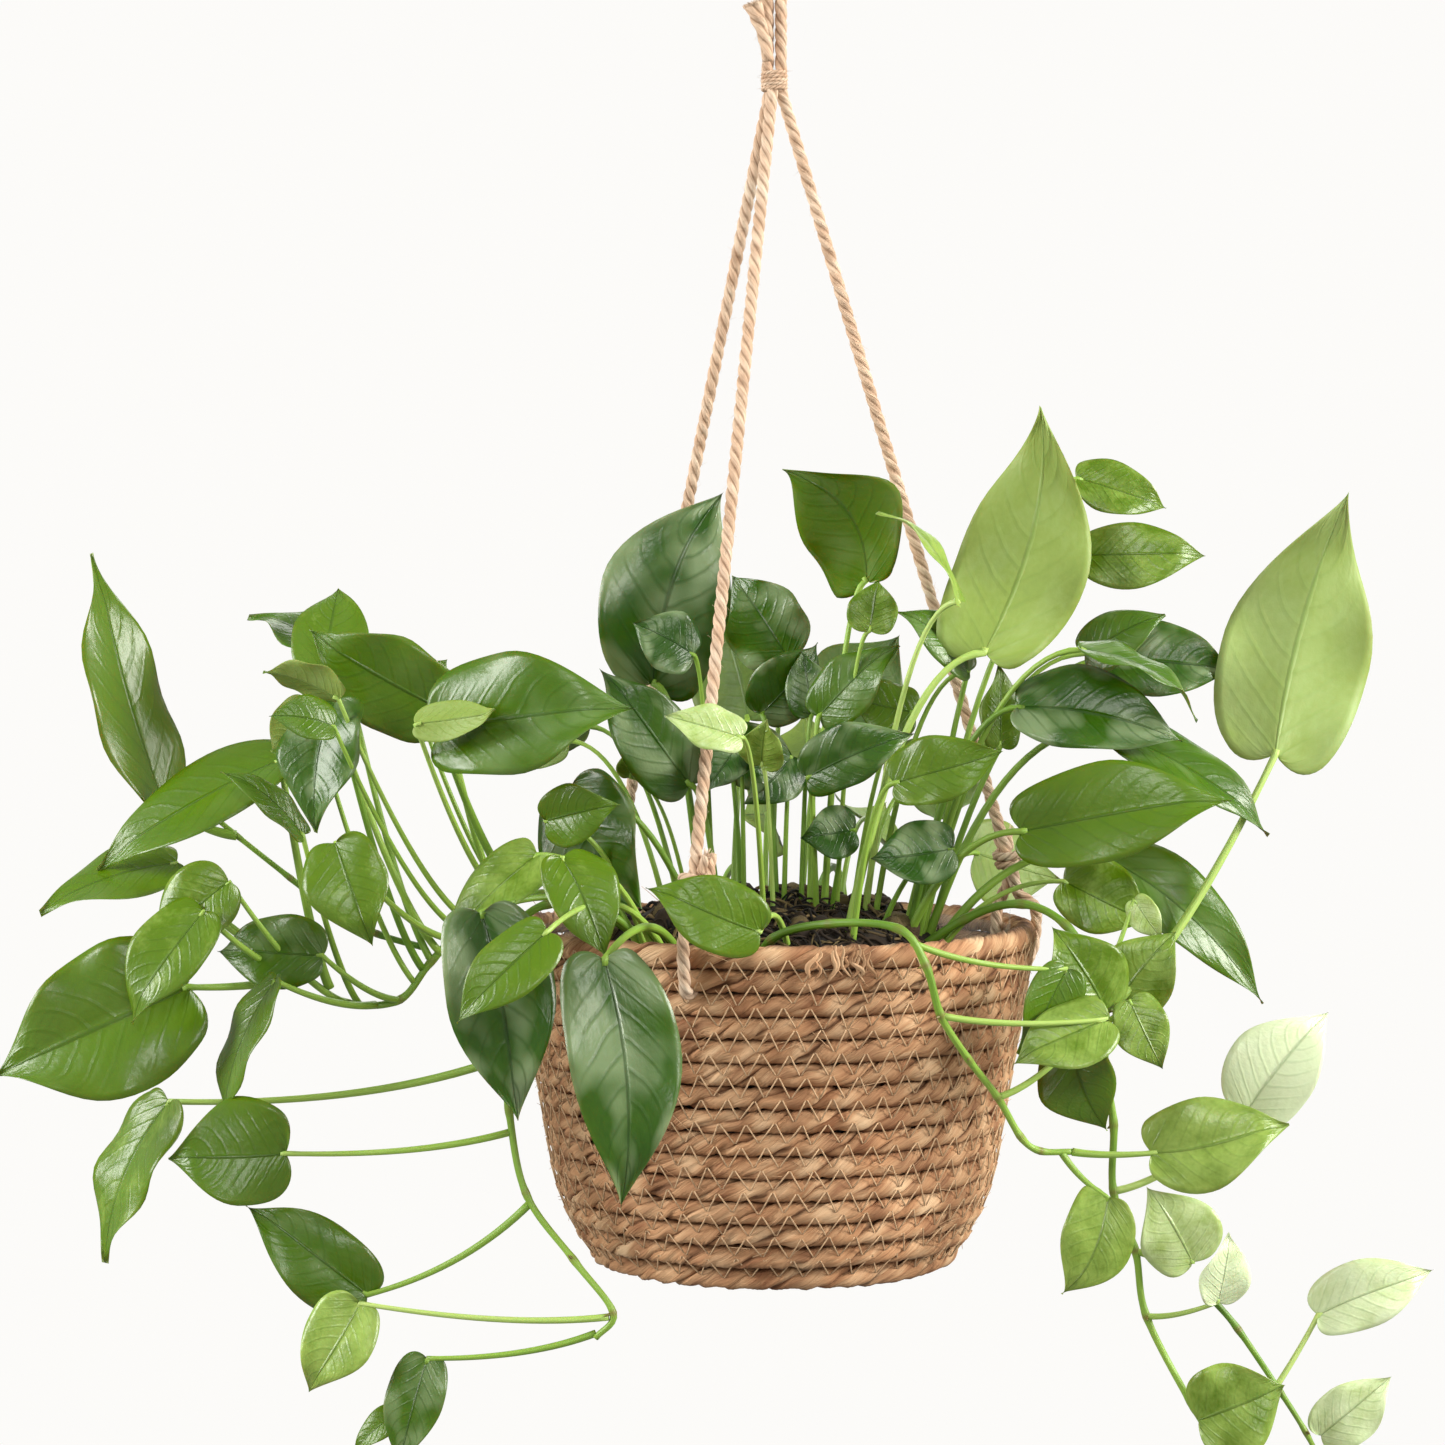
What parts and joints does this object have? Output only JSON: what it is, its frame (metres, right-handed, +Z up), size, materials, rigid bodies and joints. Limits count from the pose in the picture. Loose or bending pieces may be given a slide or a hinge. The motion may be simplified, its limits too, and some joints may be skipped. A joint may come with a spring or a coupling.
{
  "type": "hanging planter",
  "caption": "Coiled straw basket hung on three jute ropes from a tied loop, holding a potted trailing vine with heart-shaped leaves.",
  "frame": {"origin": "inside top of the hanging loop, where it rests on a hook wire that runs along Y", "axes": "+Z up along the hanging line; +X to the right as the planter is seen from the front; -Y towards the viewer"},
  "size_m": [0.6601, 0.3317, 0.734],
  "materials": {
    "jute_rope": "matte",
    "twine": "matte",
    "straw_cord": "matte",
    "sewing_thread": "matte",
    "clear_film": "gloss",
    "pot_plastic": "matte",
    "potting_soil": "matte",
    "moss": "matte",
    "stem_green": "satin",
    "leaf_green": "satin"
  },
  "bodies": {
    "hook_bight": {"loop_bight": "jute_rope"},
    "hanging_loop": {"loop_leg_left": "jute_rope", "loop_leg_right": "jute_rope", "rope_cut_tail": "jute_rope"},
    "neck": {"neck_binding": "twine"},
    "basket": {"rope_leg_front_left": "jute_rope", "rope_leg_right": "jute_rope", "rope_leg_back_left": "jute_rope", "rim_loop_front_left": "jute_rope", "rim_loop_right": "jute_rope", "rim_loop_back_left": "jute_rope", "rim_knot_front_left": "jute_rope", "rim_knot_right": "jute_rope", "rim_knot_back_left": "jute_rope", "rim_coil": "straw_cord", "wall_coils_upper": "straw_cord", "wall_coils_lower": "straw_cord", "base_coils": "straw_cord", "seam_thread": "sewing_thread", "plastic_liner": "clear_film"},
    "potted_plant": {"grow_pot": "pot_plastic", "soil": "potting_soil", "moss_mulch": "moss", "stem_left": "stem_green", "stem_left_upper": "stem_green", "stem_lower_left": "stem_green", "stem_front": "stem_green", "stem_right": "stem_green", "stem_right_small": "stem_green", "stem_back": "stem_green", "stem_back_left": "stem_green", "stalks_upper_left": "stem_green", "stalks_lower_left": "stem_green", "stalks_centre_left": "stem_green", "stalks_centre_right": "stem_green", "stalks_upper_right": "stem_green", "stalks_lower_right": "stem_green", "stalks_back": "stem_green", "leaf_set_upper_left": "leaf_green", "leaf_set_lower_left": "leaf_green", "leaf_set_centre_left": "leaf_green", "leaf_set_centre_right": "leaf_green", "leaf_set_upper_right": "leaf_green", "leaf_set_lower_right": "leaf_green", "leaf_set_back": "leaf_green"}
  },
  "joints": [
    {"name": "swing_sideways", "type": "hinge", "parent": "hook_bight", "child": "hanging_loop", "pos_m": [0, 0, -0.006], "axis": [0, 1, 0], "range_deg": [-20, 20]},
    {"name": "swing_forwards", "type": "hinge", "parent": "hanging_loop", "child": "neck", "pos_m": [0, 0, -0.0725], "axis": [1, 0, 0], "range_deg": [-15, 15]},
    {"name": "turn_on_rope", "type": "hinge", "parent": "neck", "child": "basket", "pos_m": [0, 0, -0.0855], "axis": [0, 0, 1], "range_deg": [-90, 90], "stiffness_Nm_per_rad": 0.02},
    {"name": "lift_pot_out", "type": "slide", "parent": "basket", "child": "potted_plant", "axis": [0, 0, 1], "range_m": [0, 0.04]}
  ]
}
